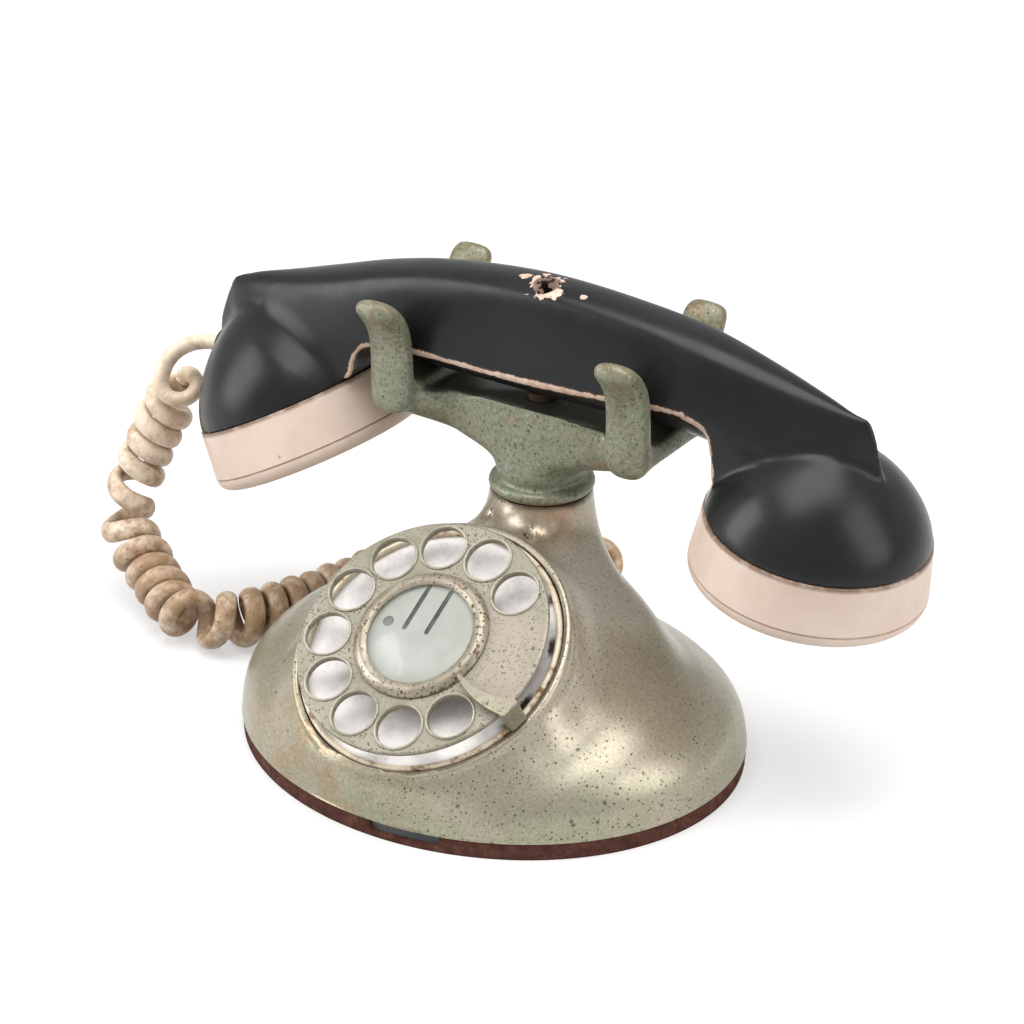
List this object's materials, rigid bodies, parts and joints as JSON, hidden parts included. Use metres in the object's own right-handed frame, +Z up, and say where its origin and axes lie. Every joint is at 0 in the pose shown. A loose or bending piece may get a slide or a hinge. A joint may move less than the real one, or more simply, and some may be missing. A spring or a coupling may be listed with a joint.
{
  "type": "rotary dial desk telephone",
  "caption": "Desk telephone: oval base with a tilted turning dial, handset that lifts from a pronged cradle and presses a hook-switch plunger, curly cord to the base.",
  "frame": {"origin": "centre of the oval base, on the surface the telephone stands on", "axes": "+X towards the receiver end of the handset, -Y towards the dial, +Z up"},
  "size_m": [0.2822, 0.1772, 0.1384],
  "materials": {
    "shell_paint": "metallic grey-green enamel, speckled and worn",
    "cradle_paint": "heavier speckled grey-green enamel with rust streaks",
    "wheel_paint": "cream-green speckled enamel",
    "ring_steel": "worn plated steel with rust spots",
    "clear_window": "clear domed plastic, slightly hazed",
    "card": "pale grey card stock",
    "plate_enamel": "off-white enamel with worn patches",
    "trim_enamel": "cream enamel with rust",
    "black_paint": "black",
    "handset_black": "satin black with cream wear along the edges",
    "cap_cream": "pinkish cream, softly worn",
    "cord_vinyl": "beige vinyl with brown grime",
    "rubber": "dull",
    "felt": "dark red-brown felt",
    "plate_steel": "dark grey enamel",
    "zinc_steel": "zinc plated",
    "spring_steel": "oiled",
    "brass": "dull",
    "phenolic": "brown phenolic",
    "capsule_alloy": "satin"
  },
  "bodies": {
    "base": {"base_shell": "shell_paint", "base_plate": "plate_steel", "felt_pad": "felt", "base_screws": "zinc_steel", "terminal_strip": "phenolic", "terminal_screws": "zinc_steel", "handset_cord_grommet": "rubber", "line_cord_inlet": "rubber", "cradle": "cradle_paint", "cradle_nut": "zinc_steel", "lever_pin": "zinc_steel", "switch_bracket": "zinc_steel", "hook_contacts": "brass", "dial_cup": "black_paint", "number_plate": "plate_enamel", "trim_ring": "trim_enamel", "finger_stop": "wheel_paint", "shaft_bush": "brass", "mainspring": "spring_steel", "dial_frame": "zinc_steel", "frame_screws": "zinc_steel", "dial_screws": "zinc_steel", "pulse_contacts": "brass", "governor_cup": "brass", "dial_bridge": "zinc_steel", "bridge_screws": "zinc_steel", "plunger_spring": "spring_steel"},
    "dial": {"finger_wheel": "wheel_paint", "wheel_screw": "zinc_steel", "dial_card": "card", "card_ring": "ring_steel", "card_window": "clear_window", "dial_shaft": "zinc_steel", "main_gear": "brass"},
    "arbor": {"pulse_arbor": "zinc_steel", "fast_gear": "brass", "pulse_cam": "brass"},
    "governor": {"governor_arbor": "zinc_steel", "governor_weights": "brass"},
    "plunger": {"hook_plunger": "phenolic"},
    "lever": {"hook_lever": "zinc_steel"},
    "handset": {"handset_handle": "handset_black", "cord_bush": "rubber", "handset_cord": "cord_vinyl", "transmitter_cap": "cap_cream", "transmitter_capsule": "capsule_alloy", "transmitter_contacts": "brass", "receiver_cap": "cap_cream", "receiver_capsule": "capsule_alloy", "receiver_contacts": "brass"}
  },
  "joints": [
    {"name": "dial_turn", "type": "hinge", "parent": "base", "child": "dial", "pos_m": [0, -0.032, 0.0434], "axis": [0, 0.5592, -0.829], "range_deg": [0, 325], "stiffness_Nm_per_rad": 0.008, "springref_deg": -171.89},
    {"name": "pulse_arbor_turn", "type": "hinge", "parent": "base", "child": "arbor", "pos_m": [0.02009, -0.01915, 0.03397], "axis": [0, 0.5592, -0.829], "range_deg": [-1083.4, 0]},
    {"name": "governor_turn", "type": "hinge", "parent": "base", "child": "governor", "pos_m": [0.01006, -0.00756, 0.03817], "axis": [0, 0.5592, -0.829], "range_deg": [0, 3611.2]},
    {"name": "handset_lift", "type": "slide", "parent": "base", "child": "handset", "axis": [0, 0, 1], "range_m": [0, 0.1]},
    {"name": "plunger_slide", "type": "slide", "parent": "base", "child": "plunger", "axis": [0, 0, 1], "range_m": [0, 0.00405], "deforming": ["plunger_spring"]},
    {"name": "hook_lever_turn", "type": "hinge", "parent": "base", "child": "lever", "pos_m": [0.02, 0.027, 0.042], "axis": [0, 1, 0], "range_deg": [0, 10.9], "stiffness_Nm_per_rad": 0.0001, "springref_deg": 85.94}
  ],
  "couplings": [
    {"joint": "pulse_arbor_turn", "follows": "dial_turn", "ratio": -3.3333},
    {"joint": "governor_turn", "follows": "dial_turn", "ratio": 11.111},
    {"joint": "plunger_slide", "follows": "handset_lift", "ratio": 0.04},
    {"joint": "hook_lever_turn", "follows": "handset_lift", "rad_per_m": 1.9}
  ]
}
